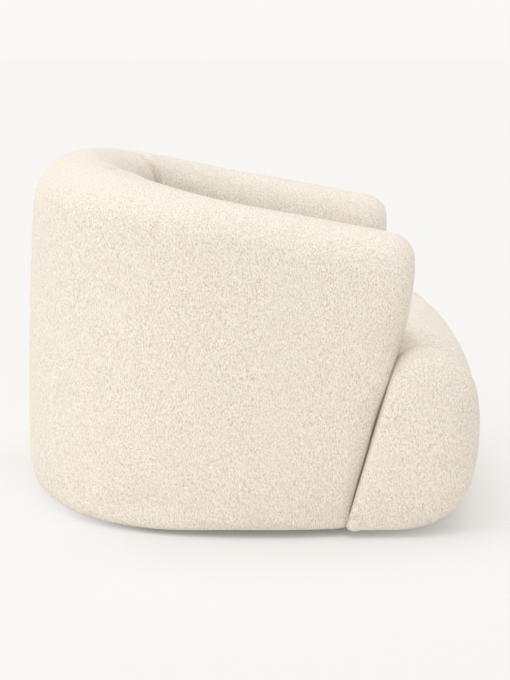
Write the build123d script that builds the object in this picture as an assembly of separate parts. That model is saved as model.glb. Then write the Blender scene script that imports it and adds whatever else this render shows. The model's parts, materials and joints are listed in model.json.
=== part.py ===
from build123d import *
from math import acos, atan2, cos, degrees, exp, hypot, log, pi, radians, sin, tan
import os

# Upholstered tub armchair: one leaning horseshoe of back and arms, and a T-shaped
# seat whose full-width front closes the arms off. Front faces -Y, up is +Z, mm.

# Overall form
overall_width = 880.0
overall_depth = 906.5
front_y = -overall_depth / 2
floor_gap = 14.0            # fabric underside of the horseshoe above the floor
plan_power = 2.38           # squareness of the horseshoe in plan
round_start_y = front_y + 401    # the arms run straight in front of this line
arm_wall = 158.0            # arm thickness
back_wall = 205.0           # back thickness at the middle
back_lean = 45.0            # how far the inside back leans
back_flare = 21.0           # how far the outside back steps in at the top
back_belly = 9.0            # and swells out at half height
rim_front_z = 556.0         # rim height at the arm fronts, before rounding
rim_front_y = front_y + 171
rim_slope = 0.2345          # the rim climbs towards the back
arm_front_round = 40.0
arm_front_foot_y = front_y + 276.5  # arm front at the bottom
arm_front_slope = 0.312     # the arm front leans forward as it rises
arm_front_stop_y = front_y + 134  # and turns upright here
front_mean_y = front_y + 206
lean_start_y = front_y + 561

# Seat
seat_half_width = overall_width / 2 - 2
seat_floor_gap = 11.0       # fabric underside of the seat above the floor
seat_front_y = front_y + 18.25   # front face at the outer ends
seat_foot_in = 14.0         # the front slopes in to its foot
seat_mid_z = 190.0          # from this height down
seat_bow = 18.0             # the front bows out at the middle
seat_top = 346.0
seat_crown = 30.0
seat_end_round = 60.0
ear_top_round = 78.0        # the ears round down towards the arm fronts
seat_gap = 2.0              # play between the seat and the tub

# Covers, padding and frame
cover = 4.0                 # pile fabric with its backing
clear = 0.3
panel_in = 28.5             # outside panel, in from the outer face
panel_thick = 3.2
frame_in = 32.0             # horseshoe formers, outer edge
frame_out = 86.0            # horseshoe formers, inner edge
ply = 18.0
base_z = 48.0               # underside of the plywood bases
ring_depth = 64.0           # top former below the rim plane
front_pad = 42.0            # padding on the arm fronts
rail = 25.0
rail_top = 235.0
bolster_y = front_y + 83.75  # front board of the seat box
ear_half = seat_half_width - 43  # seat box half width in front of the arms
box_half = overall_width / 2 - arm_wall - 15  # and between them
box_front_y = bolster_y + 27
box_rear_y = round_start_y + 99.75
ear_rear_y = arm_front_foot_y - 54.75
strap = 2.0
bolt_z = 100.0
bolt_d = 8.0
glide_d = 42.0
glide_h = 8.5
foot_spots = [(box_half - 17, overall_depth / 2 - 177.75), (ear_half - 85, front_y + 155.75)]


def arm_front_y(z):
    line = arm_front_foot_y - arm_front_slope * (z - floor_gap)
    top = max(line, arm_front_stop_y)
    blend = 14.0
    return top + blend * log(exp((line - top) / blend) + exp((arm_front_stop_y - top) / blend))


def rim_z(y):
    return rim_front_z + rim_slope * (y - rim_front_y)


def plan_point(u):
    # Outer horseshoe: a superellipse for u from 0 (back) to 1 (side), then straight on.
    a = overall_width / 2
    b = overall_depth / 2 - round_start_y
    n = plan_power
    if u > 1:
        return a, round_start_y - (u - 1), 1.0, 0.0
    ex = sin(u * pi / 2) ** (2 / n)
    ey = max(cos(u * pi / 2), 0.0) ** (2 / n)
    nx, ny = ex ** (n - 1) / a, ey ** (n - 1) / b
    size = hypot(nx, ny)
    return a * ex, round_start_y + b * ey, nx / size, ny / size


def ease(t):
    t = max(0.0, min(1.0, t))
    return t * t * (3 - 2 * t)


def backness(ny):
    return abs(ny) ** 1.5


def wall_at(ny):
    return arm_wall + (back_wall - arm_wall) * backness(ny)


def inside_at(u, z):
    # Depth of the inside face at height z, with the back's lean.
    x, y, nx, ny = plan_point(u)
    rise = (z - floor_gap) / (rim_z(y) - floor_gap)
    return wall_at(ny) + back_lean * backness(ny) * (1 - rise)


def rounded_loop(corners, radii, arc_points=5):
    # Closed outline through the corners, each rounded by its radius.
    arcs = []
    count = len(corners)
    for i in range(count):
        here = Vector(*corners[i], 0)
        to_last = (Vector(*corners[i - 1], 0) - here).normalized()
        to_next = (Vector(*corners[(i + 1) % count], 0) - here).normalized()
        half = acos(max(-1.0, min(1.0, to_last.dot(to_next)))) / 2
        r = radii[i]
        middle = here + (to_last + to_next).normalized() * (r / sin(half))
        first = here + to_last * (r / tan(half)) - middle
        last = here + to_next * (r / tan(half)) - middle
        turn = pi - 2 * half
        arc = []
        for k in range(arc_points):
            t = k / (arc_points - 1)
            near, far = sin((1 - t) * turn) / sin(turn), sin(t * turn) / sin(turn)
            arc.append(middle + first * near + last * far)
        arcs.append(arc)
    loop = []
    for i in range(count):
        loop += arcs[i]
        end, start = arcs[i][-1], arcs[(i + 1) % count][0]
        for t in (0.08, 0.3, 0.7, 0.92):
            loop.append(end * (1 - t) + start * t)
    return [(p.X, p.Y) for p in loop]


def loop_wire(points):
    return Wire([Edge.make_spline([Vector(*p) for p in points], periodic=True)])


def tub_ring(u, inset, shrink):
    x, y, nx, ny = plan_point(u)
    back = backness(ny)
    s = inset + shrink
    zb = floor_gap + inset + 0.4 * shrink
    lo, hi = s, s + back_flare * back
    in_hi = wall_at(ny) - s
    in_lo = wall_at(ny) + back_lean * back - s
    corners = [(lo, zb), (hi, rim_z(y - ny * hi) - s), (in_hi, rim_z(y - ny * in_hi) - s), (in_lo, zb)]
    radii = [24 + 46 * back - 0.4 * shrink - inset, 74 + 24 * back - s, 70 + 5 * back - s, 12 - inset]
    radii = [max(r, 5.0) for r in radii]
    lean = ease((lean_start_y - y) / (lean_start_y - front_mean_y))
    ring = []
    for m, z in rounded_loop(corners, radii):
        # the arm front is squarer low down, where the seat ear presses on it
        square = 0.6 * shrink * (1 - ease((z - 220) / 160))
        m = m - square if m < wall_at(ny) / 2 else m + square
        height = max(0.0, min(1.0, (z - zb) / (rim_z(y) - s - zb)))
        m = m - back_belly * back * sin(pi * height) * max(0.0, 1 - m / 60)
        ring.append((x - nx * m, y - ny * m + (arm_front_y(z) - front_mean_y) * lean, z))
    return ring


def tub_form(inset):
    # The horseshoe body: rounded sections carried around the plan, arms leaning forward.
    straight = round_start_y - front_mean_y - inset
    spots = [(i / 9, 0.0) for i in range(10)] + [(1 + straight * 0.4, 0.0)]
    for angle in (0, 30, 60, 85):
        back_off = arm_front_round * (1 - sin(radians(angle)))
        spots.append((1 + straight - back_off, arm_front_round * (1 - cos(radians(angle)))))
    wires = [loop_wire(tub_ring(u, inset, shrink)) for u, shrink in spots]
    tip = Vertex(overall_width / 2 - arm_wall / 2, arm_front_y(300) + inset - 2, 300)
    half = Solid.make_loft(wires + [tip], True)
    return half + mirror(half, about=Plane.YZ)


def plan_wire(depth, z, front_y, faceted=False):
    # Closed plan outline along the horseshoe at a depth given per station.
    half = []
    for i in range(10):
        x, y, nx, ny = plan_point(i / 9)
        m = depth(i / 9)
        half.append((x - nx * m, y - ny * m))
    points = [Vector(-x, y, z) for x, y in half[:0:-1]] + [Vector(x, y, z) for x, y in half]
    first, last = points[0], points[-1]
    if faceted:
        curves = [Edge.make_line(a, b) for a, b in zip(points, points[1:])]
    else:
        curves = [Edge.make_spline(points, tangents=[Vector(0, 1, 0), Vector(0, -1, 0)])]
    low_l, low_r = Vector(first.X, front_y, z), Vector(last.X, front_y, z)
    closing = [Edge.make_line(last, low_r), Edge.make_line(low_r, low_l), Edge.make_line(low_l, first)]
    return Wire(curves + closing)


def plan_prism(depth, z0, z1, front_y=-600.0):
    face = Face(plan_wire(depth, z0, front_y))
    return Solid.extrude(face, Vector(0, 0, z1 - z0))


def inset_prism(m, z0, z1, front_y=-600.0):
    return plan_prism(lambda u: m, z0, z1, front_y)


def band(m0, m1, z0, z1):
    return inset_prism(m0, z0, z1) - inset_prism(m1, z0 - 1, z1 + 1, -601.0)


def box(x0, x1, y0, y1, z0, z1):
    return Pos((x0 + x1) / 2, (y0 + y1) / 2, (z0 + z1) / 2) * Box(x1 - x0, y1 - y0, z1 - z0)


def side_prism(points, x0, x1):
    face = Face(Wire.make_polygon([Vector(x0, y, z) for y, z in points], close=True))
    return Solid.extrude(face, Vector(x1 - x0, 0, 0))


def ahead_of_arm(offset):
    # Everything in front of the leaning arm front moved back by the offset.
    heights = [-50, 100, 200, 300, 350, 400, 440, 480, 560, 900]
    line = [(arm_front_y(z) + offset, z) for z in heights]
    return side_prism(line + [(-900, 900), (-900, -50)], -700, 700)


def above_rim(depth):
    ends = (-900, 900)
    line = [(y, rim_z(y) - depth) for y in ends]
    return side_prism(line + [(900, 1800), (-900, 1800)], -700, 700)


def seat_top_z(x):
    return seat_top + seat_crown * (1 - min(abs(x) / seat_half_width, 1.0) ** 2.5)


def seat_ring(x, inset, shrink):
    f = min(abs(x) / seat_half_width, 1.0)
    s = inset + shrink
    top = seat_top_z(x) - s
    front = seat_front_y - seat_bow * (1 - f * f) + inset + 0.8 * shrink
    low = seat_floor_gap + inset + 0.1 * shrink
    rear = overall_depth / 2 - 160
    corners = [(rear - 40, low), (front + seat_foot_in, low), (front, seat_mid_z), (front, top), (rear, top)]
    head = 122 - 12 * exp(-((abs(x) - seat_half_width + 103) / 70) ** 2) - inset - 0.9 * shrink
    radii = [10, max(116 - inset - 0.6 * shrink, 8), 400, max(head, 20), 20]
    return [(x, y, z) for y, z in rounded_loop(corners, radii)]


def ear_cut(inset):
    # Room over the rounded rear top of one ear, following the crown across.
    sections = []
    inner_x = overall_width / 2 - arm_wall - seat_gap - inset
    middle_x, outer_x = seat_half_width - 93, seat_half_width + 8
    for x, lower, turn in ((inner_x, 0.0, 0.85), (middle_x, 0.0, 1.0), (outer_x, 30.0, 0.3)):
        z = seat_top_z(x) - lower - inset
        corner = Vector(x, arm_front_y(z) - seat_gap - inset, z)
        ahead = Vector(0, -1, 0)
        down = Vector(0, arm_front_y(z - 60) - arm_front_y(z), -60).normalized()
        half = acos(ahead.dot(down)) / 2
        r = ear_top_round * turn - inset
        first, last = corner + ahead * (r / tan(half)), corner + down * (r / tan(half))
        middle = corner + (ahead + down).normalized() * (r / sin(half) - r)
        far = Vector(x, last.Y + 90, last.Z)
        high = Vector(x, far.Y, z + 60)
        over = Vector(x, first.Y, z + 60)
        edges = [Edge.make_three_point_arc(first, middle, last)]
        for a, b in ((last, far), (far, high), (high, over), (over, first)):
            edges.append(Edge.make_line(a, b))
        sections.append(Wire(edges))
    return Solid.make_loft(sections, True)


def seat_form(inset):
    # T-shaped seat: full width in front of the arms, fitted into the horseshoe behind.
    reach = seat_half_width - inset
    half = [(reach * k, 0.0) for k in (0.0, 0.3, 0.55, 0.75)]
    for angle in (0, 30, 60, 85):
        x = reach - seat_end_round * (1 - sin(radians(angle)))
        half.append((x, seat_end_round * (1 - cos(radians(angle)))))
    rings = [seat_ring(x, inset, shrink) for x, shrink in half]
    left = [[(-x, y, z) for x, y, z in ring] for ring in rings[1:]]
    body = Solid.make_loft([loop_wire(ring) for ring in left[::-1] + rings], True)
    heights = [-50, 100, 200, 300, 350, 400, 600]
    front = [(arm_front_y(z) - seat_gap - inset, z) for z in heights]
    behind = side_prism(front + [(900, 600), (900, -50)], -700, 700)
    play = seat_gap + inset
    low_wire = plan_wire(lambda u: inside_at(u, -60) + play, -60, -700, True)
    high_wire = plan_wire(lambda u: inside_at(u, 520) + play, 520, -700, True)
    well = Solid.make_loft([low_wire, high_wire], True)
    ear = ear_cut(inset)
    return (body - (behind - well)) - ear - flip(ear)


def upright(u, width, z0, z1):
    # Post standing in the frame ring, square to the horseshoe.
    x, y, nx, ny = plan_point(u)
    m0, m1 = frame_in + 1.6, 78.0
    m = (m0 + m1) / 2
    place = Location((x - nx * m, y - ny * m, (z0 + z1) / 2), (0, 0, degrees(atan2(ny, nx))))
    return place * Box(m1 - m0, width, z1 - z0)


def flip(shape):
    return mirror(shape, about=Plane.YZ)


def rod(x0, x1, y, z, d):
    return Pos((x0 + x1) / 2, y, z) * Rot(0, 90, 0) * Cylinder(d / 2, abs(x1 - x0))


nodes = {}

# Shared cutters
arm_fronts = ahead_of_arm(front_pad + 3)
pad_fronts = ahead_of_arm(front_pad)
above_ring = above_rim(ring_depth)
below_ring_top = above_rim(ring_depth + ply)
above_pad = above_rim(ring_depth - clear)

# Horseshoe frame
ring = band(frame_in, frame_out, -10, 900)
nodes["tub_base_former"] = (ring & box(-600, 600, -600, 600, base_z, base_z + ply)) - arm_fronts
top_ring = band(frame_in + 8, frame_out, 300, 900)
nodes["tub_top_former"] = ((top_ring & below_ring_top) - above_ring) - arm_fronts
post_z = base_z + ply
nodes["back_post_centre"] = upright(0.0, 60, post_z, 900) - below_ring_top
post_right = upright(0.47, 55, post_z, 900) - below_ring_top
nodes["back_post_right"] = post_right
nodes["back_post_left"] = flip(post_right)
side_x0, side_x1 = overall_width / 2 - 78, overall_width / 2 - frame_in - 1.5
bolt_y = round_start_y + 40.75
arm_post = box(side_x0, side_x1, bolt_y - 22, bolt_y + 22, post_z, 900) - below_ring_top
nodes["arm_post_right"] = arm_post
nodes["arm_post_left"] = flip(arm_post)
low_y = arm_front_y(post_z) + front_pad + 3
high_y = arm_front_y(520) + front_pad + 3
lean_line = [(low_y, post_z), (low_y + 45, post_z), (high_y + 45, 520), (high_y, 520)]
front_post = side_prism(lean_line, side_x0, side_x1) - below_ring_top
nodes["arm_front_post_right"] = front_post
nodes["arm_front_post_left"] = flip(front_post)
skin = band(panel_in, panel_in + panel_thick, base_z, 900)
nodes["outside_panel"] = (skin - below_ring_top) - arm_fronts

# Inside straps around the horseshoe
strap_ring = band(frame_out + 0.2, frame_out + 0.2 + strap, 0, 900) - arm_fronts
straps = []
for k in range(4):
    level = 160 + 95 * k
    straps += (strap_ring & box(-600, 600, -600, 600, level, level + 55)).solids()
nodes["tub_straps"] = straps

# Horseshoe padding
foam = tub_form(cover + clear)
hollow = inset_prism(panel_in - clear, base_z - clear, 900)
inner_zone = inset_prism(frame_out + 3, -10, 900)
front_foam = foam & pad_fronts
body_foam = foam - ahead_of_arm(front_pad + clear)
halves = [box(0, 700, -700, 700, -50, 900), box(-700, 0, -700, 700, -50, 900)]
nodes["arm_front_pad_right"] = front_foam & halves[0]
nodes["arm_front_pad_left"] = front_foam & halves[1]
nodes["rim_pad"] = body_foam & above_pad
wall_foam = body_foam - above_rim(ring_depth)
nodes["outside_pad"] = (wall_foam - hollow) - inner_zone
lining = wall_foam & inner_zone
corner_y = round_start_y + 139.75
nodes["inside_back_pad"] = lining & box(-600, 600, corner_y, 600, -50, 900)
arm_lining = lining & box(-600, 600, -600, corner_y - clear, -50, 900)

# Horseshoe cover, open underneath where it turns in over the base
sleeve = tub_form(0.0) - tub_form(cover)
mouth = plan_prism(lambda u: 36 + 34 * backness(plan_point(u)[3]), -10, floor_gap + cover + 1.5)
mouth = mouth - plan_prism(lambda u: inside_at(u, 20) - 26, -11, floor_gap + cover + 3)
sleeve = sleeve - (mouth - ahead_of_arm(60))
seam = plan_prism(lambda u: wall_at(plan_point(u)[3]) - 52, -20, 900)
nodes["tub_outside_cover"] = sleeve - seam
inside_cover = sleeve & seam

# Seat box
rail_x = box_half - rail
side_rail = box(rail_x, box_half, box_front_y, box_rear_y, base_z + ply, rail_top)
nodes["seat_rail_right"] = side_rail
nodes["seat_rail_left"] = flip(side_rail)
inner_front_y = box_front_y + rail
nodes["seat_front_rail"] = box(-rail_x, rail_x, box_front_y, inner_front_y, base_z + ply, rail_top)
bend_out = plan_prism(lambda u: inside_at(u, 60) + 13, base_z + ply, rail_top)
bend_in = plan_prism(lambda u: inside_at(u, 60) + 13 + rail, base_z, rail_top + 9, -610.0)
nodes["seat_bent_rear_rail"] = (bend_out - bend_in) & box(-500, 500, box_rear_y, 600, 0, 500)
blocks = []
for sx in (-1, 1):
    square = Vector(sx * rail_x, inner_front_y, 170)
    tri = Wire.make_polygon([square, square + Vector(-sx * 60, 0, 0), square + Vector(0, 60, 0)])
    blocks.append(Solid.extrude(Face(tri), Vector(0, 0, 60)))
nodes["seat_corner_blocks"] = blocks
base_plan = [(-ear_half, bolster_y), (ear_half, bolster_y), (ear_half, ear_rear_y), (box_half, ear_rear_y)]
base_plan += [(box_half, box_rear_y), (-box_half, box_rear_y)]
base_plan += [(-box_half, ear_rear_y), (-ear_half, ear_rear_y)]
base_face = Face(Wire.make_polygon([Vector(x, y, base_z) for x, y in base_plan], close=True))
window = box(67 - box_half, box_half - 67, box_front_y + 55, round_start_y + 24.75, 0, 200)
nodes["seat_base_panel"] = Solid.extrude(base_face, Vector(0, 0, ply)) - window
nodes["seat_front_board"] = box(-ear_half, ear_half, bolster_y, bolster_y + 12, base_z + ply, 240)
rib_line = [(bolster_y + 12, base_z + ply), (bolster_y + 12, 240), (arm_front_y(240) - 31, 240)]
rib_line.append((arm_front_y(base_z + ply) - 42, base_z + ply))
rib = side_prism(rib_line, ear_half - ply, ear_half)
nodes["ear_rib_right"] = rib
nodes["ear_rib_left"] = flip(rib)
ear_lid = box(box_half + 5, ear_half, bolster_y, arm_front_y(240) - 31, 240, 242.4)
nodes["ear_lid_right"] = ear_lid
nodes["ear_lid_left"] = flip(ear_lid)

# Seat suspension
seat_area = plan_prism(lambda u: inside_at(u, 60) + 13, 0, 400)
long_straps = []
for k in range(-2, 3):
    x = k * 0.367 * box_half
    long_strap = box(x - 30, x + 30, box_front_y, 400, rail_top, rail_top + strap) & seat_area
    long_straps += long_strap.solids()
nodes["seat_long_straps"] = long_straps
cross_straps = []
for k in range(4):
    y = box_front_y + 75 + 100 * k
    level = rail_top + strap
    cross_straps.append(box(1 - box_half, box_half - 1, y - 30, y + 30, level, level + strap))
nodes["seat_cross_straps"] = cross_straps
felt_z = rail_top + 2 * strap
nodes["seat_felt"] = seat_area & box(1 - box_half, box_half - 1, box_front_y, 400, felt_z, felt_z + 3.5)

# Seat padding
core_z = felt_z + 3.5 + clear
core_x = box_half + 3
stuffing = seat_form(cover + clear)
nodes["seat_core_pad"] = stuffing & box(-core_x, core_x, bolster_y, 400, core_z, 900)
ear_line = [(bolster_y - clear, base_z - clear), (bolster_y - clear, core_z)]
ear_line += [(arm_front_y(core_z) - 30, core_z), (arm_front_y(base_z) - 40, base_z - clear)]
ear_room = side_prism(ear_line, -ear_half - clear, ear_half + clear)
core_x = core_x + clear
core_room = box(-core_x, core_x, bolster_y - clear, 400, core_z - 10, 900)
box_room = box(-core_x, core_x, box_front_y, 400, -50, 900)
nodes["seat_front_pad"] = ((stuffing - ear_room) - core_room) - box_room

# Seat cover, open underneath
seat_skin = seat_form(0.0) - seat_form(cover)
mouth_z = seat_floor_gap + cover + 1.5
mouth_x, mouth_y = seat_half_width - 68, ear_rear_y - 5.75
seat_mouth = box(-mouth_x, mouth_x, box_front_y - 15, mouth_y, -10, mouth_z)
seat_mouth = seat_mouth + box(27 - box_half, box_half - 27, mouth_y - 1, box_rear_y + 75, -10, mouth_z)
seat_skin = seat_skin - seat_mouth

# Bolts that join the seat box to the horseshoe frame
front_bolt_y = arm_front_y(bolt_z) + front_pad + 3 + 24
bolt_spots = [(s, y) for s in (-1, 1) for y in (front_bolt_y, bolt_y)]
bolts, washers, nuts, holes = [], [], [], []
for s, y in bolt_spots:
    x_in, x_out = rail_x, side_x1 - 5.4
    shank = rod(s * (x_in - 2), s * (x_out + 4), y, bolt_z, bolt_d)
    head = extrude(RegularPolygon(7.5, 6), 2.5, both=True)
    bolts.append(shank + Pos(s * (x_in - 4.5), y, bolt_z) * Rot(0, 90, 0) * head)
    disc = rod(s * (x_in - 2), s * x_in, y, bolt_z, 24)
    washers.append(disc - rod(s * (x_in - 42), s * (x_in + 58), y, bolt_z, bolt_d + 0.4))
    nut = Pos(s * (x_out + 2.2), y, bolt_z) * Rot(0, 90, 0) * extrude(RegularPolygon(7.5, 6), 2.0, both=True)
    nuts.append(nut - rod(s * 300, s * 500, y, bolt_z, bolt_d + 0.2))
    bore = rod(s * (x_in - 92), s * x_out, y, bolt_z, bolt_d + 0.8)
    holes.append(bore + rod(s * x_out, s * (side_x1 + 0.5), y, bolt_z, 17.5))
nodes["joining_bolts"] = bolts
nodes["joining_washers"] = washers
nodes["joining_nuts"] = nuts


def drill(shape):
    for hole in holes:
        shape = shape - hole
    return shape


for name in ("seat_rail_right", "seat_rail_left", "arm_post_right", "arm_post_left"):
    nodes[name] = drill(nodes[name])
for name in ("arm_front_post_right", "arm_front_post_left", "seat_front_pad"):
    nodes[name] = drill(nodes[name])
arm_lining = drill(arm_lining)
nodes["inside_arm_pad_right"] = arm_lining & halves[0]
nodes["inside_arm_pad_left"] = arm_lining & halves[1]
nodes["tub_inside_cover"] = drill(inside_cover)
nodes["seat_cover"] = drill(seat_skin)

# Feet: wooden blocks, dark glides and their screws
profile = [(0, 0), (glide_d / 2 - 3, 0), (glide_d / 2, 3), (glide_d / 2, glide_h), (0, glide_h)]
outline = Face(Wire.make_polygon([Vector(x, 0, z) for x, z in profile], close=True))
puck = Solid.revolve(outline, 360, Axis.Z)
puck = puck - Pos(0, 0, 3) * Cylinder(7, 6.02) - Pos(0, 0, 10) * Cylinder(2.8, 40)
pin = Pos(0, 0, 4.4) * Cylinder(5.5, 3) + Pos(0, 0, 21.5) * Cylinder(2.3, 33)
under_z = glide_h + 1.5
feet, screws, holes_up = [], [], []
for fx, fy in foot_spots:
    for s in (-1, 1):
        side = "right" if s > 0 else "left"
        end = "rear" if fy > 0 else "front"
        spot = Pos(s * fx, fy, 0)
        nodes["glide_" + end + "_" + side] = spot * puck
        screws.append(spot * pin)
        holes_up.append(spot * Pos(0, 0, 25) * Cylinder(2.5, 60))
        foot = spot * Pos(0, 0, (under_z + base_z) / 2) * Box(44, 44, base_z - under_z)
        nodes["foot_block_" + end + "_" + side] = foot - holes_up[-1]
        feet.append(spot * Pos(0, 0, 30) * Box(46, 46, 80))
nodes["glide_screws"] = screws
lining_x, lining_y = seat_half_width - 93, arm_front_foot_y - 0.75
lining_cloth = inset_prism(78, glide_h, under_z, lining_y)
lining_cloth = lining_cloth + box(-lining_x, lining_x, box_front_y - 5, lining_y, glide_h, under_z)
for hole in holes_up:
    lining_cloth = lining_cloth - hole
nodes["dust_cover"] = lining_cloth
foot_pads = ["outside_pad", "inside_back_pad", "seat_front_pad"]
foot_pads += ["inside_arm_pad_right", "inside_arm_pad_left"]
for name in foot_pads:
    for room in feet:
        nodes[name] = nodes[name] - room

os.makedirs("parts", exist_ok=True)
for name, shape in nodes.items():
    solids = []
    for item in shape if isinstance(shape, list) else [shape]:
        solids += item.solids()
    whole = solids[0] if len(solids) == 1 else Compound(solids)
    whole.label = name
    export_step(whole, os.path.join("parts", name + ".step"))
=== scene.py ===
import json
from math import radians
import bmesh
import bpy
import numpy as np
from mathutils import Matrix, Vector


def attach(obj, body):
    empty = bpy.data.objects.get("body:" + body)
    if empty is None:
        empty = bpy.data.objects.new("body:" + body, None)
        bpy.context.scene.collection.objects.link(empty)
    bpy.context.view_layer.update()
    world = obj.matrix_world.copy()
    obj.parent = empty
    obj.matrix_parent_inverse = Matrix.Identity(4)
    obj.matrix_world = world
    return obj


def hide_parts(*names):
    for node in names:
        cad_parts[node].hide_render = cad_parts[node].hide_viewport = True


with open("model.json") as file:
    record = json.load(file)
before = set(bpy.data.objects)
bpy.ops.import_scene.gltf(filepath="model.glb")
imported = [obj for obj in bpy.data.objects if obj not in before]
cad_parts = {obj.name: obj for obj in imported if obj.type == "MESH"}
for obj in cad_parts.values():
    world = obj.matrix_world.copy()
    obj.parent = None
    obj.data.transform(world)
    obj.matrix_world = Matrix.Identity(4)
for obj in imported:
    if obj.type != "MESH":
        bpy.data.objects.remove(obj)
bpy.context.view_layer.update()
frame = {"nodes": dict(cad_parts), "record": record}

scene = bpy.context.scene
scene.view_settings.view_transform = "Standard"
print("frame loaded,", len(frame["nodes"]), "nodes")


# shapes, in mm until they become meshes

def smoothStep(t):
    # 0 to 1 with level ends: three squares less two cubes
    t = np.clip(t, 0, 1)
    return t * t * (3 - 2 * t)


def bell(d, width):
    # 1 in the middle, falling off as e to the minus square
    return np.exp(-(d / width) ** 2)


def filletLoop(corners, radii, arcCounts, lineCounts):
    # closed outline of each station: every corner an arc of its radius, straight between
    count = corners.shape[-2]
    arcs = []
    for i in range(count):
        here = corners[:, i]
        toLast = corners[:, i - 1] - here
        toNext = corners[:, (i + 1) % count] - here
        toLast = toLast / np.linalg.norm(toLast, axis=-1, keepdims=True)
        toNext = toNext / np.linalg.norm(toNext, axis=-1, keepdims=True)
        half = np.arccos(np.clip((toLast * toNext).sum(-1), -1, 1)) / 2
        r = radii[:, i]
        between = toLast + toNext
        between = between / np.linalg.norm(between, axis=-1, keepdims=True)
        middle = here + between * (r / np.sin(half))[:, None]
        first = here + toLast * (r / np.tan(half))[:, None] - middle
        last = here + toNext * (r / np.tan(half))[:, None] - middle
        turn = np.pi - 2 * half
        t = np.linspace(0, 1, arcCounts[i])
        size = np.maximum(np.sin(turn), 1e-6)[:, None]
        a = np.sin((1 - t) * turn[:, None]) / size
        b = np.sin(t * turn[:, None]) / size
        arcs.append(middle[:, None] + a[..., None] * first[:, None] + b[..., None] * last[:, None])
    loop = []
    for i in range(count):
        loop.append(arcs[i])
        t = (np.arange(1, lineCounts[i] + 1) / (lineCounts[i] + 1))[None, :, None]
        loop.append(arcs[i][:, -1:] * (1 - t) + arcs[(i + 1) % count][:, :1] * t)
    return np.concatenate(loop, axis=1)


def gridMesh(name, points):
    # grid of stations by points around, welded where a row shrinks to a line
    rows, around = points.shape[:2]
    index = np.arange(rows * around).reshape(rows, around)
    index = np.concatenate([index, index[:, :1]], 1)
    quads = np.stack([index[:-1, :-1], index[1:, :-1], index[1:, 1:], index[:-1, 1:]], -1).reshape(-1, 4)
    mesh = bpy.data.meshes.new(name)
    mesh.from_pydata((points.reshape(-1, 3) / 1000).tolist(), [], quads.tolist())
    work = bmesh.new()
    work.from_mesh(mesh)
    bmesh.ops.remove_doubles(work, verts=work.verts, dist=0.00005)
    bmesh.ops.recalc_face_normals(work, faces=work.faces)
    work.to_mesh(mesh)
    work.free()
    mesh.polygons.foreach_set("use_smooth", np.ones(len(mesh.polygons), bool))
    obj = bpy.data.objects.new(name, mesh)
    scene.collection.objects.link(obj)
    return obj


def readPoints(mesh):
    # rows of x, y, z in metres
    flat = np.zeros(len(mesh.vertices) * 3)
    mesh.vertices.foreach_get("co", flat)
    return flat.reshape(-1, 3)


def readNormals(mesh):
    # outward unit rows, one for each point
    flat = np.zeros(len(mesh.vertices) * 3)
    mesh.vertex_normals.foreach_get("vector", flat)
    return flat.reshape(-1, 3)


def writePoints(mesh, points):
    mesh.vertices.foreach_set("co", points.reshape(-1))
    mesh.update()


def bakeModifiers(obj):
    # keep what the modifiers make as the plain mesh
    solid = bpy.data.meshes.new_from_object(obj.evaluated_get(bpy.context.evaluated_depsgraph_get()))
    obj.modifiers.clear()
    obj.data = solid
    solid.polygons.foreach_set("use_smooth", np.ones(len(solid.polygons), bool))


pileCloth = dict(quality=5, mass=0.35, stretch=12, shear=6, bend=0.8)


def fillCloth(obj, pinned, fill):
    # cloth blown up from inside, held where it is stapled or sewn, each point moved by no more than the cap
    before = readPoints(obj.data)
    held = obj.vertex_groups.new(name="held")
    held.add(np.nonzero(pinned)[0].tolist(), 1.0, "REPLACE")
    cloth = obj.modifiers.new("fill", "CLOTH")
    cloth.settings.quality = pileCloth["quality"]
    cloth.settings.mass = pileCloth["mass"]
    cloth.settings.tension_stiffness = pileCloth["stretch"]
    cloth.settings.compression_stiffness = pileCloth["stretch"]
    cloth.settings.shear_stiffness = pileCloth["shear"]
    cloth.settings.bending_stiffness = pileCloth["bend"]
    cloth.settings.vertex_group_mass = "held"
    cloth.settings.use_pressure = True
    cloth.settings.uniform_pressure_force = fill["pressure"]
    cloth.settings.effector_weights.gravity = 0
    cloth.collision_settings.use_collision = False
    cloth.collision_settings.use_self_collision = False
    cloth.point_cache.frame_start = 1
    cloth.point_cache.frame_end = fill["frames"]
    for step in range(1, fill["frames"] + 1):
        scene.frame_set(step)
    shown = obj.evaluated_get(bpy.context.evaluated_depsgraph_get())
    after = readPoints(shown.to_mesh())
    shown.to_mesh_clear()
    obj.modifiers.clear()
    scene.frame_set(1)
    obj.vertex_groups.clear()
    move = after - before
    far = np.linalg.norm(move, axis=1, keepdims=True)
    move = move * np.minimum(1, fill["cap"] / np.maximum(far, 1e-9))
    writePoints(obj.data, before + move)
    print(obj.name, "cloth moved up to %.1f mm" % (1000 * np.minimum(far, fill["cap"]).max()))


# horseshoe of back and arms

tub = dict(width=880, depth=906.5, gap=14, planPower=2.38, roundStart=-52.25,
           armWall=158, backWall=205, backLean=45, backFlare=21, backBelly=9, bellyReach=60,
           backDrop=6.5, dropRun=200, rimFrontZ=556, rimFrontY=-282.25, rimSlope=0.2345,
           footRound=14, backFootRound=50, rimOut=74, backRimOut=24, rimIn=70, backRimIn=5, innerFoot=12,
           frontRound=40, frontMean=-247.25, leanStart=107.75, footY=-176.75, frontSlope=0.312,
           frontStop=-319.25, steepBelow=262, steeper=0.06, blend=14, taper=13, taperRun=170,
           squareness=0.6, squareBelow=280, squareFade=130, capMargin=42, capBulge=5, step=11, fineStep=4)
creases = dict(slope=0.81, start=-60.25, lean=0.27, leanAbove=585, depth=17, width=8,
               swell=3, swellAt=26, swellWidth=20, within=330, behind=20, facing=(-0.12, 0.5), crowd=55)


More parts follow.
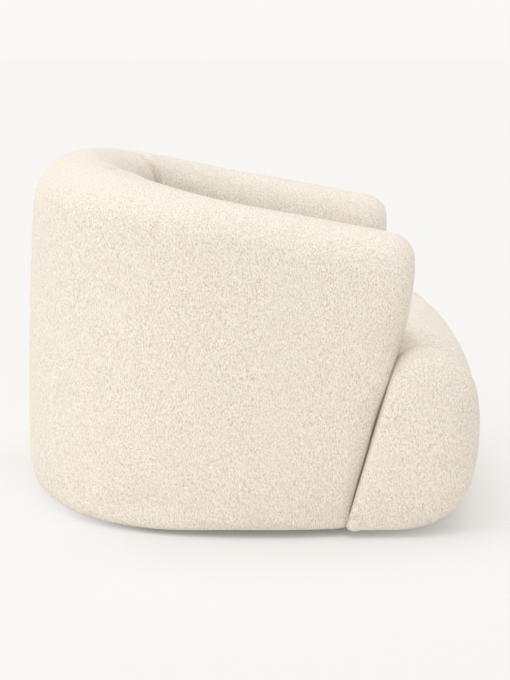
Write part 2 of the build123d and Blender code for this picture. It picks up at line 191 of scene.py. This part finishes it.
def armFrontY(z):
    # leaning line, steeper near the floor, that turns upright: the soft greater of the two
    line = tub["footY"] - tub["frontSlope"] * (z - tub["gap"])
    line = line - tub["steeper"] * np.maximum(tub["steepBelow"] - z, 0)
    top = np.maximum(line, tub["frontStop"])
    return top + tub["blend"] * np.log(np.exp((line - top) / tub["blend"])
                                       + np.exp((tub["frontStop"] - top) / tub["blend"]))


def rimZ(y):
    # straight slope up from the arm fronts to the back
    return tub["rimFrontZ"] + tub["rimSlope"] * (y - tub["rimFrontY"])


def planTable():
    # half of the outer plan: superellipse quarter, then straight; arc length, point, outward normal
    a, b, n = tub["width"] / 2, tub["depth"] / 2 - tub["roundStart"], tub["planPower"]
    turn = np.linspace(0, np.pi / 2, 6000)
    ex, ey = np.sin(turn) ** (2 / n), np.maximum(np.cos(turn), 0) ** (2 / n)
    nx, ny = ex ** (n - 1) / a, ey ** (n - 1) / b
    size = np.hypot(nx, ny)
    run = np.linspace(0, tub["roundStart"] - tub["frontMean"], 200)[1:]
    x = np.concatenate([a * ex, a + 0 * run])
    y = np.concatenate([tub["roundStart"] + b * ey, tub["roundStart"] - run])
    nx = np.concatenate([nx / size, 1 + 0 * run])
    ny = np.concatenate([ny / size, 0 * run])
    length = np.concatenate([[0], np.cumsum(np.hypot(np.diff(x), np.diff(y)))])
    return length, x, y, nx, ny


def insideDepth(ny, y, z):
    # wall thickness, thicker where the back leans
    back = np.abs(ny) ** 1.5
    rise = (z - tub["gap"]) / (rimZ(y) - tub["gap"])
    return tub["armWall"] + (tub["backWall"] - tub["armWall"]) * back + tub["backLean"] * back * (1 - rise)


def tubSurface():
    # rounded wall section carried along the plan; arms lean by moving each height to the arm front's line
    length, x, y, nx, ny = planTable()
    total, r = length[-1], tub["frontRound"]
    # points stand closer where the inside corner's crease comes
    inX, inY = x - nx * tub["armWall"] * 1.15, y - ny * tub["armWall"] * 1.15
    corner = length[np.argmin(np.abs(inX - creases["slope"] * (inY - creases["start"])))]
    density = 1 / (tub["step"] - (tub["step"] - tub["fineStep"]) * bell(length - corner, creases["crowd"]))
    count = np.concatenate([[0], np.cumsum((density[1:] + density[:-1]) / 2 * np.diff(length))])
    run = np.interp(total - r, length, count)
    body = np.interp(np.linspace(0, run, int(run)), count, length)
    ends = total - r + r * np.sin(np.linspace(0, np.pi / 2, 8))[1:]
    at = np.concatenate([body, ends])
    x, y, nx, ny = (np.interp(at, length, v) for v in (x, y, nx, ny))
    back = np.abs(ny) ** 1.5
    wall = tub["armWall"] + (tub["backWall"] - tub["armWall"]) * back
    e = np.clip(total - at, 0, r)
    shrink = r - np.sqrt(np.maximum(r ** 2 - (r - e) ** 2, 0))
    # a little nearer the floor at the back
    low = tub["gap"] + 0.1 * shrink - tub["backDrop"] * smoothStep(y / tub["dropRun"])
    outLow, outHigh = shrink, shrink + tub["backFlare"] * back
    inHigh, inLow = wall - shrink, wall + tub["backLean"] * back - shrink
    corners = np.stack([
        np.stack([outLow, low], -1),
        np.stack([outHigh, rimZ(y - ny * outHigh) - shrink], -1),
        np.stack([inHigh, rimZ(y - ny * inHigh) - shrink], -1),
        np.stack([inLow, low], -1)], 1)
    lean = smoothStep((tub["leanStart"] - y) / (tub["leanStart"] - tub["frontMean"]))
    radii = np.stack([tub["footRound"] + tub["backFootRound"] * back ** 2 - 0.4 * shrink,
                      tub["rimOut"] + tub["backRimOut"] * back - shrink,
                      tub["rimIn"] + tub["backRimIn"] * back - shrink, tub["innerFoot"] + 0 * back], 1)
    section = filletLoop(corners, np.maximum(radii, 5), (8, 13, 12, 4), (40, 4, 38, 10))
    m, z = section[..., 0], section[..., 1]
    # squarer low down, where the seat ear presses on the arm front
    fade = smoothStep((z - tub["squareBelow"]) / tub["squareFade"])
    square = tub["squareness"] * shrink[:, None] * (1 - fade)
    m = m + np.where(m < wall[:, None] / 2, -square, square)
    # arms draw in towards their fronts
    near = np.clip(1 - (total - at) / tub["taperRun"], 0, 1)[:, None]
    m = m + tub["taper"] * near ** 2 * (1 - m / wall[:, None])
    # outside back swells at half height
    height = np.clip((z - low[:, None]) / (rimZ(y) - shrink - low)[:, None], 0, 1)
    near = np.maximum(0, 1 - m / tub["bellyReach"])
    m = m - tub["backBelly"] * back[:, None] * np.sin(np.pi * height) * near
    section = np.stack([m, z], -1)
    lean = lean[:, None]
    half = np.stack([x[:, None] - nx[:, None] * m,
                     y[:, None] - ny[:, None] * m + (armFrontY(z) - tub["frontMean"]) * lean, z], -1)
    # arm front closes over its middle line with a slight bulge
    last, margin = section[-1], tub["capMargin"]
    middle = np.stack([np.full(len(last), wall[-1] / 2),
                       np.clip(last[:, 1], last[:, 1].min() + margin, last[:, 1].max() - margin)], -1)
    caps = []
    for t in np.linspace(0, 1, 6)[1:]:
        q = last * (1 - t) + middle * t
        proud = tub["capBulge"] * (1 - (1 - t) ** 2)
        caps.append(np.stack([x[-1] - q[:, 0], armFrontY(q[:, 1]) - proud, q[:, 1]], -1))
    half = np.concatenate([half, np.array(caps)], 0)
    other = half[::-1] * np.array([-1, 1, 1])
    return np.concatenate([other, half[1:]], 0)


tubPad = gridMesh("tubPad", tubSurface())
tubPoints = readPoints(tubPad.data) * 1000
print("horseshoe:", len(tubPoints), "points")

tubFill = dict(pressure=2.2, frames=14, cap=0.004, stapledBelow=26)
fillCloth(tubPad, tubPoints[:, 2] < tubFill["stapledBelow"], tubFill)


def pullSeams(obj):
    # inside corners pulled in where back and arm linings meet, the arm lining swelling beside the groove
    points, normals = readPoints(obj.data) * 1000, readNormals(obj.data)
    x, y, z = points.T
    run = y - creases["start"] - creases["lean"] * np.maximum(z - creases["leanAbove"], 0)
    side = (np.abs(x) - creases["slope"] * run) / np.hypot(1, creases["slope"])
    inward = -(normals[:, 0] * np.sign(x) + normals[:, 1])
    inside = (np.abs(x) < creases["within"]) & (y > creases["behind"])
    inner = smoothStep((inward - creases["facing"][0]) / creases["facing"][1]) * inside
    move = creases["swell"] * bell(side - creases["swellAt"], creases["swellWidth"])
    move = move - creases["depth"] * bell(side, creases["width"])
    writePoints(obj.data, (points + normals * (move * inner)[:, None]) / 1000)


tubPad.modifiers.new("fine", "SUBSURF").levels = 1
tubPad.modifiers["fine"].render_levels = 1
bakeModifiers(tubPad)
pullSeams(tubPad)

# T-shaped seat: front block as wide as the chair, core between the arms

seat = dict(halfWidth=438, front=-435, bow=18, top=346, crown=30, endRound=60, endBulge=6, gap=11,
            frontFoot=14, middle=190, middleRound=400, footRound=116, headRound=122, rearFoot=9,
            rearRound=14, footBehind=-4.5, topBehind=-3, play=3, coreFront=-330, coreRound=10, coreRear=26,
            coreEnd=20, coreLift=4, rearLow=20.0, rearHigh=350.0, voxel=0.006, even=0.5, evenTimes=6)
# what differs at the two ears, with its place across the chair and its width
ears = dict(full=12, fullAt=(335, 70), round=56, roundFrom=(265, 55), hollow=38, hollowAt=(306, 42),
            sink=6, sinkFrom=(300, 60), lift=13, liftAt=(385, 45))


def seatTop(x):
    # crown that falls off towards both sides
    return seat["top"] + seat["crown"] * (1 - np.minimum(np.abs(x) / seat["halfWidth"], 1) ** 2.5)


def acrossChair(x, section):
    # side sections set out at their places across the chair
    return np.stack([np.broadcast_to(x[:, None], section.shape[:2]), section[..., 0], section[..., 1]], -1)


def closeEnds(points, bulge):
    # each end row shrinks to its own middle, a little proud of the edge
    rows = []
    for t in (0.35, 0.7, 1.0):
        rows.append([end * (1 - t) + end.mean(0) * t + np.array([side * bulge * (1 - (1 - t) ** 2), 0, 0])
                     for end, side in ((points[0], -1), (points[-1], 1))])
    left = np.array([r[0] for r in rows[::-1]])
    right = np.array([r[1] for r in rows])
    return np.concatenate([left, points, right], 0)


def frontBlock():
    # rounded side section carried across the chair, shrinking over the end radius
    w, r = seat["halfWidth"], seat["endRound"]
    x = w * np.sin(np.linspace(-1, 1, 150) * np.pi / 2)
    off = np.abs(x)
    e = np.clip(w - off, 0, r)
    d = r - np.sqrt(np.maximum(r ** 2 - (r - e) ** 2, 0))
    top = seatTop(x) + ears["lift"] * bell(off - ears["liftAt"][0], ears["liftAt"][1])
    front = seat["front"] - seat["bow"] * (1 - (x / w) ** 2)
    low = seat["gap"] + 0 * x
    # rear top edge sinks by the arms: most at each arm's inner corner, less across the ear
    sink = ears["hollow"] * bell(off - ears["hollowAt"][0], ears["hollowAt"][1])
    sink = sink + ears["sink"] * smoothStep((off - ears["sinkFrom"][0]) / ears["sinkFrom"][1])
    corners = np.stack([
        np.stack([armFrontY(low) - seat["footBehind"], low + 0.1 * d], -1),
        np.stack([front + seat["frontFoot"] + 1.6 * d, low + 0.1 * d], -1),
        np.stack([front + 1.6 * d, seat["middle"] + 0 * x], -1),
        np.stack([front + 1.6 * d, top - d], -1),
        np.stack([armFrontY(top) - seat["topBehind"], top - 0.45 * d - sink], -1)], 1)
    # fuller ears, rounder behind
    ahead = seat["headRound"] - ears["full"] * bell(off - ears["fullAt"][0], ears["fullAt"][1]) - 1.25 * d
    outward = smoothStep((off - ears["roundFrom"][0]) / ears["roundFrom"][1])
    behind = seat["rearRound"] + ears["round"] * outward
    radii = np.stack([seat["rearFoot"] + 0 * d, seat["footRound"] - 0.6 * d, seat["middleRound"] + 0 * d,
                      ahead, behind], 1)
    section = filletLoop(corners, radii, (5, 16, 5, 14, 14), (20, 8, 10, 6, 34))
    return closeEnds(acrossChair(x, section), seat["endBulge"])


def seatCore():
    # side section from the front block to the leaning back, its rear edge on the inside of the horseshoe
    length, px, py, nx, ny = planTable()
    wide = tub["width"] / 2 - tub["armWall"] - seat["play"]
    x = wide * np.sin(np.linspace(-1, 1, 90) * np.pi / 2)

    def rearAt(z):
        # plan moved inwards by the wall at this height, read at each x
        deep = insideDepth(ny, py, z) + seat["play"]
        ix, iy = px - nx * deep, py - ny * deep
        order = np.argsort(ix)
        return np.interp(np.abs(x), ix[order], iy[order])

    r = seat["coreEnd"]
    e = np.clip(wide - np.abs(x), 0, r)
    d = r - np.sqrt(np.maximum(r ** 2 - (r - e) ** 2, 0))
    top = seatTop(x)
    front = seat["coreFront"] + 0 * x
    low = seat["gap"] + seat["coreLift"] + 0 * x
    lowRear, highRear = rearAt(seat["rearLow"]), rearAt(seat["rearHigh"])
    corners = np.stack([
        np.stack([lowRear, low], -1),
        np.stack([front, low], -1),
        np.stack([front, top - d], -1),
        np.stack([highRear, top - d], -1)], 1)
    radii = np.stack([seat["coreRound"] + 0 * d] * 3 + [seat["coreRear"] + 0 * d], 1)
    section = filletLoop(corners, radii, (4, 4, 4, 7), (40, 24, 50, 24))
    return closeEnds(acrossChair(x, section), 0)


def joinAndRemesh(name, parts):
    # one skin over the overlapping blocks
    work = bmesh.new()
    for part in parts:
        work.from_mesh(part.data)
    mesh = bpy.data.meshes.new(name)
    work.to_mesh(mesh)
    work.free()
    for part in parts:
        bpy.data.objects.remove(part)
    obj = bpy.data.objects.new(name, mesh)
    scene.collection.objects.link(obj)
    skin = obj.modifiers.new("skin", "REMESH")
    skin.mode = "VOXEL"
    skin.voxel_size = seat["voxel"]
    even = obj.modifiers.new("even", "SMOOTH")
    even.factor = seat["even"]
    even.iterations = seat["evenTimes"]
    bakeModifiers(obj)
    return obj


blocks = [gridMesh("frontBlock", frontBlock()), gridMesh("seatCore", seatCore())]
seatPad = joinAndRemesh("seatPad", blocks)
seatPoints = readPoints(seatPad.data) * 1000
print("seat:", len(seatPoints), "points")
seatFill = dict(pressure=2.5, frames=14, cap=0.005, stapledBelow=30, armInside=284,
                coreHeld=(12, 325), earHeld=(-14, 335))
x, y, z = seatPoints.T
# held on its base, between the arms and where the ears meet the arm fronts
back, between = y - armFrontY(z), np.abs(x) < seatFill["armInside"]
boxed = between & (back > seatFill["coreHeld"][0]) & (z < seatFill["coreHeld"][1])
boxed = boxed | (~between & (back > seatFill["earHeld"][0]) & (z < seatFill["earHeld"][1]))
boxed = boxed | (z < seatFill["stapledBelow"])
fillCloth(seatPad, boxed, seatFill)
seatPad.modifiers.new("fine", "SUBSURF").levels = 1
seatPad.modifiers["fine"].render_levels = 1
bakeModifiers(seatPad)

earSeam = dict(x=360, y=-356.5, turn=(0.68, 0.73), half=46, fade=22, depth=2.2, width=3.5, above=280,
               tuck=3, tuckFrom=(415, 12), tuckBehind=-2, ring=(9, 9), fold=(26, 5), foldAbove=(16, 14))


def sewEars(obj):
    # short slanting seam on top of each ear, and a small tuck at its lower corner by the arm
    points, normals = readPoints(obj.data) * 1000, readNormals(obj.data)
    x, y, z = points.T
    side, ahead = np.abs(x) - earSeam["x"], y - earSeam["y"]
    c, k = earSeam["turn"]
    across, along = side * c - ahead * k, side * k + ahead * c
    ends = smoothStep((earSeam["half"] - np.abs(along)) / earSeam["fade"])
    move = -earSeam["depth"] * bell(across, earSeam["width"]) * ends * (z > earSeam["above"])
    # a ring of swell round the corner, then a fold that fades towards the floor
    away = np.hypot(y - armFrontY(z) - earSeam["tuckBehind"], z - seat["gap"])
    panel = smoothStep((np.abs(x) - earSeam["tuckFrom"][0]) / earSeam["tuckFrom"][1])
    ring = bell(away - earSeam["ring"][0], earSeam["ring"][1])
    fold = bell(away - earSeam["fold"][0], earSeam["fold"][1])
    fold = fold * smoothStep((z - earSeam["foldAbove"][0]) / earSeam["foldAbove"][1])
    move = move + earSeam["tuck"] * panel * (ring - fold)
    writePoints(obj.data, (points + normals * move[:, None]) / 1000)


sewEars(seatPad)

tubNodes = ("tub_outside_cover", "tub_inside_cover", "rim_pad", "outside_pad", "inside_back_pad",
            "inside_arm_pad_left", "inside_arm_pad_right", "arm_front_pad_left", "arm_front_pad_right")
seatNodes = ("seat_cover", "seat_core_pad", "seat_front_pad")
for piece, nodes in ((tubPad, tubNodes), (seatPad, seatNodes)):
    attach(piece, "root")
    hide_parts(*nodes)


# finishes

class Value:
    # one number socket, with sums written as Python
    def __init__(self, finish, socket):
        self.finish, self.socket = finish, socket

    def maths(self, operation, a, b):
        made = self.finish.node("ShaderNodeMath", {"operation": operation}, {0: a, 1: b})
        return Value(self.finish, made.outputs[0])

    def __add__(self, other):
        return self.maths("ADD", self, other)

    def __radd__(self, other):
        return self.maths("ADD", other, self)

    def __sub__(self, other):
        return self.maths("SUBTRACT", self, other)

    def __rsub__(self, other):
        return self.maths("SUBTRACT", other, self)

    def __mul__(self, other):
        return self.maths("MULTIPLY", self, other)

    def __rmul__(self, other):
        return self.maths("MULTIPLY", other, self)

    def __pow__(self, other):
        return self.maths("POWER", self, other)


class Finish:
    # a material, its shader and the nodes that feed it
    def __init__(self, name, **fixed):
        self.material = bpy.data.materials.new(name)
        self.material.use_nodes = True
        self.tree = self.material.node_tree
        self.shader = self.tree.nodes["Principled BSDF"]
        for socket, value in fixed.items():
            self.shader.inputs[socket.replace("_", " ")].default_value = value
        self.place = self.node("ShaderNodeTexCoord").outputs["Object"]

    def node(self, kind, settings={}, sockets={}):
        # settings first, then values or links
        made = self.tree.nodes.new(kind)
        for key, value in settings.items():
            setattr(made, key, value)
        for key, value in sockets.items():
            self.feed(made.inputs[key], value)
        return made

    def feed(self, socket, value):
        value = value.socket if isinstance(value, Value) else value
        if isinstance(value, bpy.types.NodeSocket):
            self.tree.links.new(value, socket)
        else:
            socket.default_value = value

    def number(self, kind, settings, sockets, output):
        return Value(self, self.node(kind, settings, sockets).outputs[output])

    def noise(self, scale, detail=2.0, rough=0.5, warp=0.0, place=None):
        sockets = {"Vector": place or self.place, "Scale": scale, "Detail": detail, "Roughness": rough,
                   "Distortion": warp}
        return self.number("ShaderNodeTexNoise", {}, sockets, "Fac")

    def spread(self, value, low, high):
        # low..high to 0..1
        sockets = {"Value": value, "From Min": low, "From Max": high}
        return self.number("ShaderNodeMapRange", {"clamp": True}, sockets, "Result")

    def stretched(self, scale):
        return self.node("ShaderNodeMapping", {}, {"Vector": self.place, "Scale": scale}).outputs["Vector"]

    def mixed(self, amount, first, second):
        made = self.node("ShaderNodeMix", {"data_type": "RGBA"}, {0: amount, 6: first, 7: second})
        return made.outputs[2]

    def bump(self, height, strength, distance):
        sockets = {"Height": height, "Strength": strength, "Distance": distance}
        made = self.node("ShaderNodeBump", {}, sockets)
        self.feed(self.shader.inputs["Normal"], made.outputs["Normal"])

    def paint(self, colour, roughness=None):
        self.feed(self.shader.inputs["Base Color"], colour)
        if roughness is not None:
            self.feed(self.shader.inputs["Roughness"], roughness)


def pileFabric():
    # short looped pile: worm-like curls standing slightly upright, darker between, with a soft broad lay
    pile = dict(curl=640, worm=1050, knob=580, upright=(1, 1, 0.30), curlShare=0.45, wormShare=0.75,
                knobShare=0.2, toneLow=0.573, toneHigh=0.717, deep=(0.55, 0.485, 0.40, 1),
                high=(0.985, 0.93, 0.84, 1), lay=11, layShare=0.10, layTone=(0.84, 0.77, 0.66, 1),
                bump=0.5, bumpDepth=0.004)
    made = Finish("pileFabric", Roughness=0.95, Sheen_Weight=0.25, Sheen_Roughness=0.5,
                  Specular_IOR_Level=0.12)
    upright = made.stretched(pile["upright"])
    curl = made.noise(pile["curl"], 1, 0.5, 0.5, upright)
    worm = made.noise(pile["worm"], 0, 0.5, 0.6)
    knob = made.number("ShaderNodeTexVoronoi", {"feature": "SMOOTH_F1"},
                       {"Vector": upright, "Scale": pile["knob"], "Smoothness": 0.5}, "Distance")
    height = curl * pile["curlShare"] + worm * pile["wormShare"] + (1 - knob) * pile["knobShare"]
    tone = made.spread(height, pile["toneLow"], pile["toneHigh"])
    colour = made.mixed(tone, pile["deep"], pile["high"])
    faint = made.spread(made.noise(pile["lay"], 3, 0.55), 0.3, 0.75) * pile["layShare"]
    made.paint(made.mixed(faint, colour, pile["layTone"]))
    made.bump(height, pile["bump"], pile["bumpDepth"])
    return made.material


def timberGrain(name, pale, dark, across):
    # noise drawn out along the grain, seven parts broad to three parts fine
    made = Finish(name, Roughness=0.62)
    grain = made.noise(7, 5, 0.6, 0.6, made.stretched(across))
    fine = made.noise(60, 3, 0.6, 0.2, made.stretched(across))
    made.paint(made.mixed(made.spread(grain * 0.7 + fine * 0.3, 0.35, 0.65), dark, pale))
    made.bump(fine, 0.15, 0.0006)
    return made.material


def wovenCloth(name, pale, dark, scale):
    # over and under threads as two crossed waves
    made = Finish(name, Roughness=0.92)
    sockets = {"Vector": made.place, "Scale": scale}
    waves = [made.number("ShaderNodeTexWave", {"bands_direction": way}, sockets, "Fac")
             for way in ("X", "Y")]
    weave = waves[0] * waves[1]
    made.paint(made.mixed(weave, dark, pale))
    made.bump(weave, 0.3, 0.0008)
    return made.material


def mouldedPlastic():
    # near black, its fine specks a little paler and duller
    made = Finish("mouldedPlastic", Specular_IOR_Level=0.4)
    speck = made.noise(900, 2, 0.5)
    made.paint(made.mixed(speck, (0.018, 0.018, 0.019, 1), (0.035, 0.034, 0.033, 1)), 0.45 + speck * 0.2)
    made.bump(speck, 0.12, 0.0004)
    return made.material


def platedSteel():
    # grey metal, duller where the plating is paler
    made = Finish("platedSteel", Metallic=1.0)
    streak = made.noise(140, 3, 0.6, 0.3)
    made.paint(made.mixed(streak, (0.50, 0.50, 0.49, 1), (0.66, 0.66, 0.64, 1)), 0.3 + streak * 0.2)
    return made.material


def pressedFelt():
    # warped noise as matted fibres
    made = Finish("pressedFelt", Roughness=0.97)
    fibre = made.noise(420, 4, 0.65, 1.2)
    made.paint(made.mixed(fibre, (0.30, 0.28, 0.26, 1), (0.52, 0.50, 0.46, 1)))
    made.bump(fibre, 0.4, 0.001)
    return made.material


finishes = {
    "pile_fabric": pileFabric(),
    "padding": pressedFelt(),
    "felt": pressedFelt(),
    "lining_cloth": wovenCloth("liningCloth", (0.05, 0.048, 0.046, 1), (0.018, 0.018, 0.018, 1), 260),
    "webbing": wovenCloth("webbing", (0.30, 0.26, 0.21, 1), (0.13, 0.11, 0.09, 1), 160),
    "glide_plastic": mouldedPlastic(),
    "steel": platedSteel(),
    "plywood": timberGrain("plywood", (0.74, 0.57, 0.38, 1), (0.58, 0.42, 0.26, 1), (9, 1.2, 9)),
    "hardboard": timberGrain("bentBoard", (0.42, 0.29, 0.18, 1), (0.30, 0.20, 0.12, 1), (4, 4, 4)),
    "timber": timberGrain("timber", (0.70, 0.53, 0.35, 1), (0.52, 0.37, 0.22, 1), (8, 8, 1)),
}
slotOf = {part["node"]: part["material_slot"] for part in frame["record"]["subparts"]}
for name, node in frame["nodes"].items():
    node.data.materials.clear()
    node.data.materials.append(finishes[slotOf[name]])
for piece in (tubPad, seatPad):
    piece.data.materials.clear()
    piece.data.materials.append(finishes["pile_fabric"])
print("finishes set")

# floor, light and camera

# lift and the rear lift are shares of painted light on the floor, a glow that lifts the chair's shadow
studio = dict(floor=(0.72, 0.714, 0.705, 1), shown=(0.958, 0.940, 0.923, 1), bounce=(0.94, 0.915, 0.87, 1),
              lift=0.40, rearShadowLift=0.55, sky=0.60, skyColour=(1.0, 0.968, 0.915, 1),
              lampColour=(0.97, 0.972, 1.0), fill=0.125, fillFrom=(-1.6, 0.45, 0.35), fillAngle=90,
              key=0.69, keyFrom=(-1.0, 1.7, 1.15), keyAngle=70, top=1.90, topFrom=(0, 0.05, 1), topAngle=60,
              power=1.2, near=(0.05, 0.175), litAlong=(0.18, 0.36), litAcross=(0.15, -0.15),
              litNear=(0.06, 0.10))

floorMesh = bpy.data.meshes.new("floor")
floorMesh.from_pydata([(-40, -40, 0), (40, -40, 0), (40, 40, 0), (-40, 40, 0)], [], [(0, 1, 2, 3)])
floor = bpy.data.objects.new("floor", floorMesh)
scene.collection.objects.link(floor)
floorFinish = Finish("paleFloor", Roughness=1.0, Specular_IOR_Level=0.0)
# seen straight, part of the floor is a pale glow, painted light that lifts the chair's shadow so shadows
# stay soft: none under the chair, more away from it
seen = floorFinish.number("ShaderNodeLightPath", {}, {}, "Is Camera Ray")
across, along = (floorFinish.number("ShaderNodeSeparateXYZ", {}, {0: floorFinish.place}, way)
                 for way in "XY")
reach = (across * across) ** studio["power"] + (along * along) ** studio["power"]
# share of painted light lifting the shadow: round the chair, and a little more beside its back on the side
# towards the camera
outside = floorFinish.spread(reach, *studio["near"]) * studio["lift"]
lit = floorFinish.spread(along, *studio["litAlong"]) * floorFinish.spread(across, *studio["litAcross"])
behind = lit * floorFinish.spread(reach, *studio["litNear"]) * studio["rearShadowLift"]
# painted bounce light: for all but camera rays the floor is brighter and warmer than it looks, lighting and
# warming the chair's lower and shaded sides
floorFinish.paint(floorFinish.mixed(seen, studio["bounce"], studio["floor"]))
# painted light: a pale emitting colour on the floor, though the floor is no lamp
paintedGlow = floorFinish.node("ShaderNodeEmission", {}, {"Color": studio["shown"], "Strength": 1.0})
parts = {0: seen * (outside + behind), 1: floorFinish.shader.outputs[0], 2: paintedGlow.outputs[0]}
blend = floorFinish.node("ShaderNodeMixShader", {}, parts)
floorFinish.feed(floorFinish.tree.nodes["Material Output"].inputs["Surface"], blend.outputs[0])
floorMesh.materials.append(floorFinish.material)

world = bpy.data.worlds.new("studio")
scene.world = world
world.use_nodes = True
nodes, links = world.node_tree.nodes, world.node_tree.links
light = nodes["Background"]
light.inputs["Color"].default_value = studio["skyColour"]
light.inputs["Strength"].default_value = studio["sky"]
backdrop = nodes.new("ShaderNodeBackground")
backdrop.inputs["Color"].default_value = studio["shown"]
rays, choose = nodes.new("ShaderNodeLightPath"), nodes.new("ShaderNodeMixShader")
links.new(rays.outputs["Is Camera Ray"], choose.inputs[0])
links.new(light.outputs[0], choose.inputs[1])
links.new(backdrop.outputs[0], choose.inputs[2])
links.new(choose.outputs[0], nodes["World Output"].inputs["Surface"])

for name, energy, angle, origin in (("key", studio["key"], studio["keyAngle"], studio["keyFrom"]),
                                    ("top", studio["top"], studio["topAngle"], studio["topFrom"]),
                                    ("fill", studio["fill"], studio["fillAngle"], studio["fillFrom"])):
    lamp = bpy.data.objects.new(name, bpy.data.lights.new(name, "SUN"))
    lamp.data.energy = energy
    lamp.data.angle = radians(angle)
    lamp.data.color = studio["lampColour"]
    scene.collection.objects.link(lamp)
    lamp.rotation_mode = "QUATERNION"
    lamp.rotation_quaternion = (-Vector(origin)).to_track_quat("-Z", "Y")

photo = dict(place=(-3.571, -0.0158, 0.962), down=10.5, lens=91.5)
camera = bpy.data.objects.new("camera", bpy.data.cameras.new("camera"))
camera.data.lens = photo["lens"]
camera.data.sensor_width = 36
camera.location = photo["place"]
camera.rotation_euler = (radians(90 - photo["down"]), 0, radians(-90))
scene.collection.objects.link(camera)
scene.camera = camera
print("studio set")

bpy.context.view_layer.update()
